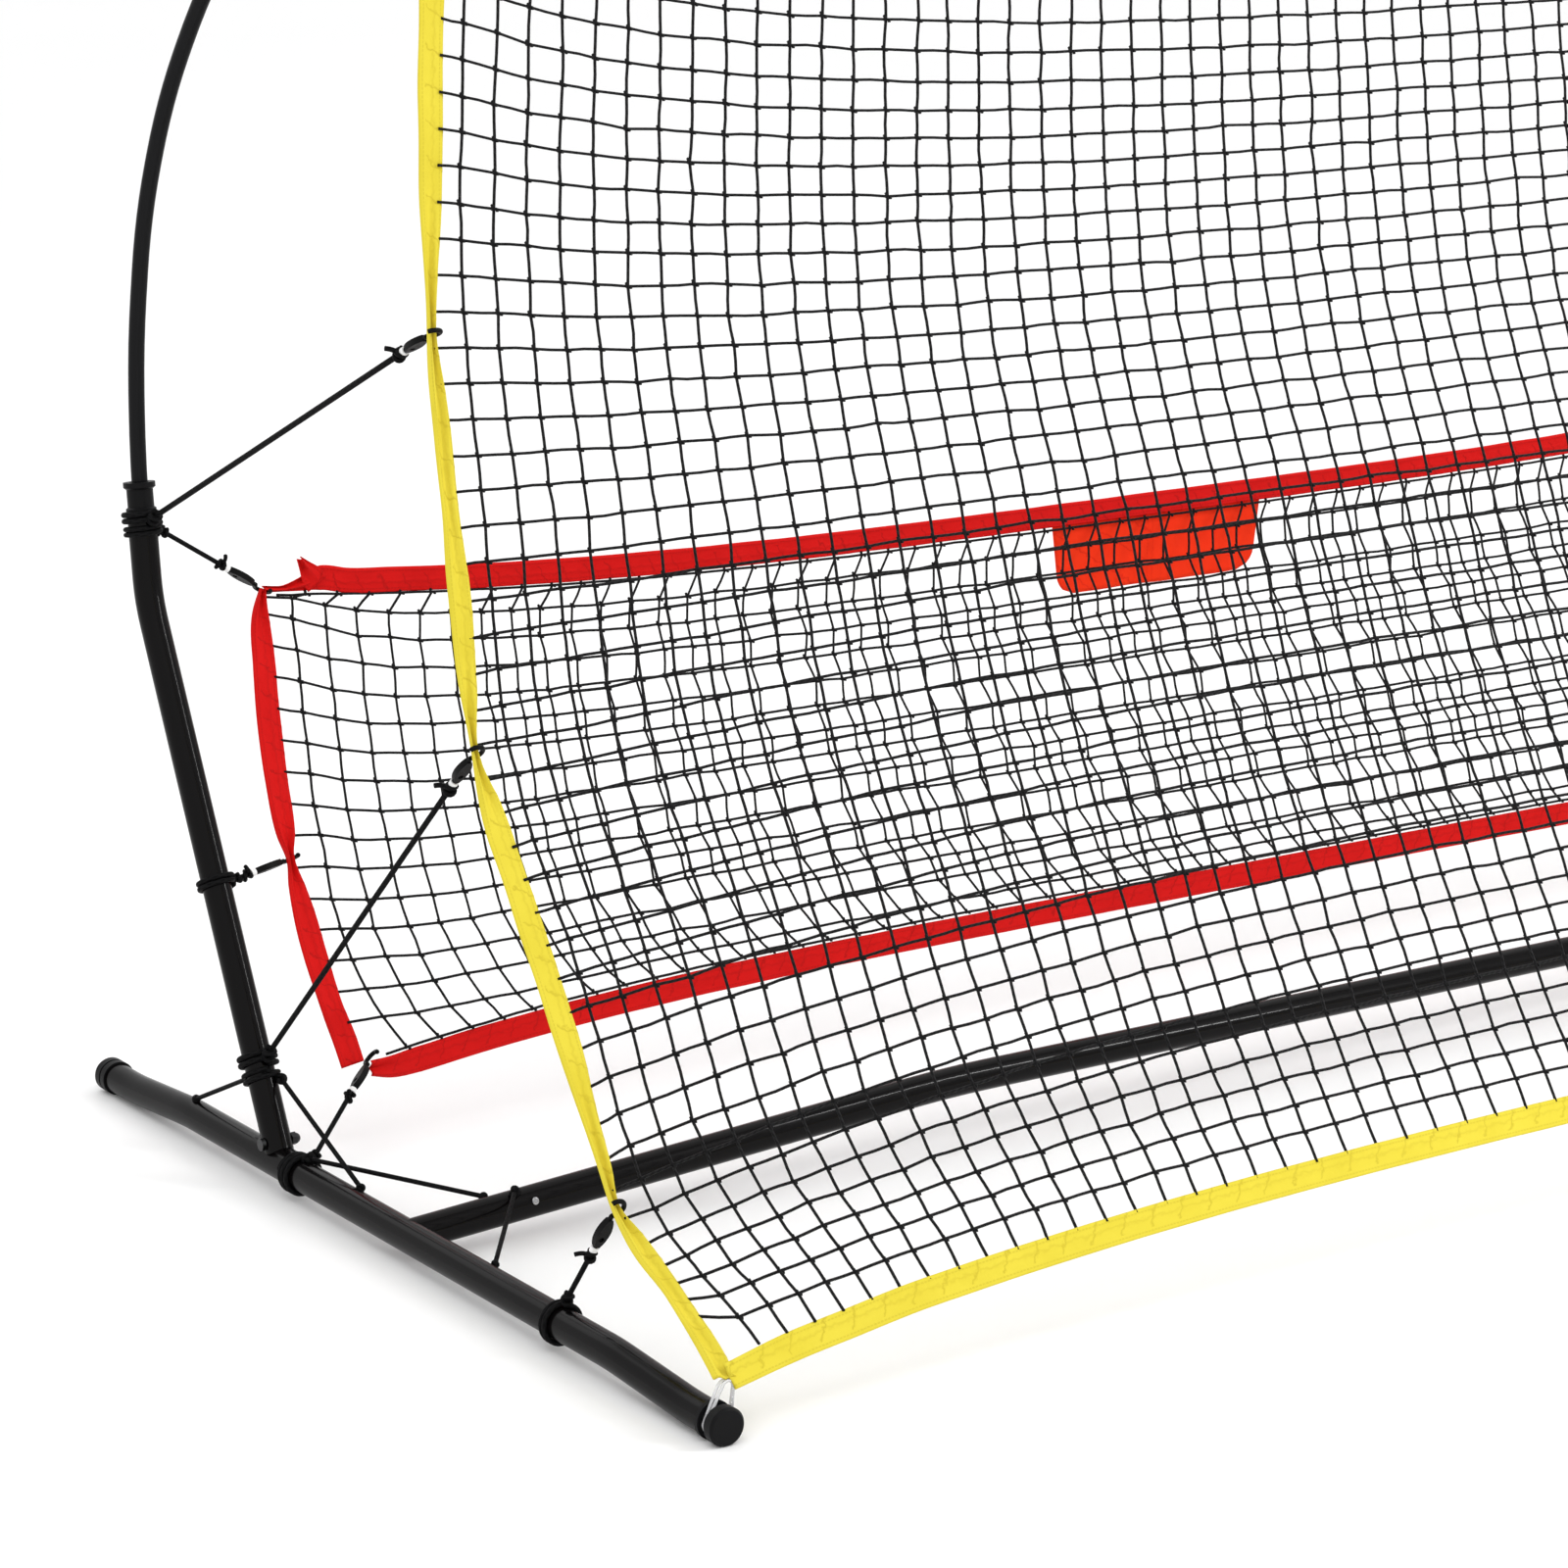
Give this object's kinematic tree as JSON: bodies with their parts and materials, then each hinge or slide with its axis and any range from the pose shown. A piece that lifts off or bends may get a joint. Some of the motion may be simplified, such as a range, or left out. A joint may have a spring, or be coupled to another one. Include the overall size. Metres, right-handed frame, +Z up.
{
  "type": "pitch back rebounder",
  "caption": "Lawn rebounder: bent steel base and uprights, bowed poles, a ramped front net with a yellow hem and a small rear net with a red hem, held by bungees.",
  "frame": {"origin": "on the ground, in the middle of the base", "axes": "+X to the right along the crossbar, +Y to the rear, away from the player, +Z up"},
  "size_m": [2.5136, 1.14, 1.4758],
  "materials": {
    "steel_tube": "gloss powder coat",
    "black_plastic": "moulded",
    "pole_rod": "satin fibreglass",
    "bolt_steel": "blackened",
    "spring_steel": "spring steel",
    "button_steel": "plated",
    "net_twine": "knotted polyester twine",
    "yellow_tape": "woven tape",
    "red_tape": "woven tape",
    "flap_fabric": "woven fabric",
    "cord": "braided elastic",
    "hook_plastic": "moulded",
    "stopper_plastic": "translucent",
    "clear_elastic": "clear elastic"
  },
  "bodies": {
    "frame": {"base_bracket_left": "steel_tube", "base_bracket_right": "steel_tube", "bungee_front_lower_left": "cord", "bungee_front_lower_right": "cord", "bungee_front_middle_left": "cord", "bungee_front_middle_right": "cord", "bungee_front_upper_left": "cord", "bungee_front_upper_right": "cord", "bungee_rear_lower_left": "cord", "bungee_rear_lower_right": "cord", "bungee_rear_middle_left": "cord", "bungee_rear_middle_right": "cord", "bungee_rear_upper_left": "cord", "bungee_rear_upper_right": "cord", "clamp_bolt_left": "bolt_steel", "clamp_bolt_right": "bolt_steel", "collar_left": "black_plastic", "collar_right": "black_plastic", "corner_loop_left": "clear_elastic", "corner_loop_right": "clear_elastic", "crossbar": "steel_tube", "crossbar_stub_left": "steel_tube", "crossbar_stub_right": "steel_tube", "front_cap_left": "black_plastic", "front_cap_right": "black_plastic", "front_hem_bottom": "yellow_tape", "front_hem_left": "yellow_tape", "front_hem_right": "yellow_tape", "front_hem_top": "yellow_tape", "front_netting": "net_twine", "guy_cords_left": "cord", "guy_cords_right": "cord", "hooks_left": "hook_plastic", "hooks_right": "hook_plastic", "leaf_spring_left": "spring_steel", "leaf_spring_right": "spring_steel", "pole_left": "pole_rod", "pole_right": "pole_rod", "pole_tip_left": "black_plastic", "pole_tip_right": "black_plastic", "rear_cap_left": "black_plastic", "rear_cap_right": "black_plastic", "rear_hem_bottom": "red_tape", "rear_hem_left": "red_tape", "rear_hem_right": "red_tape", "rear_hem_top": "red_tape", "rear_netting": "net_twine", "side_tube_left": "steel_tube", "side_tube_right": "steel_tube", "stoppers_left": "stopper_plastic", "stoppers_right": "stopper_plastic", "tip_loop_left": "cord", "tip_loop_right": "cord", "upright_left": "steel_tube", "upright_right": "steel_tube"},
    "snap_button_left": {"snap_button_left": "button_steel"},
    "snap_button_right": {"snap_button_right": "button_steel"},
    "label_flap": {"label_flap": "flap_fabric"}
  },
  "joints": [
    {"name": "snap_button_left_press", "type": "slide", "parent": "frame", "child": "snap_button_left", "axis": [0, 0.9397, -0.342], "range_m": [0, 0.0035], "stiffness_N_per_m": 900},
    {"name": "snap_button_right_press", "type": "slide", "parent": "frame", "child": "snap_button_right", "axis": [0, 0.9397, -0.342], "range_m": [0, 0.0035], "stiffness_N_per_m": 900},
    {"name": "flap_swing", "type": "hinge", "parent": "frame", "child": "label_flap", "pos_m": [0, 0.4562, 0.474], "axis": [1, 0, 0], "range_deg": [0, 75]}
  ]
}
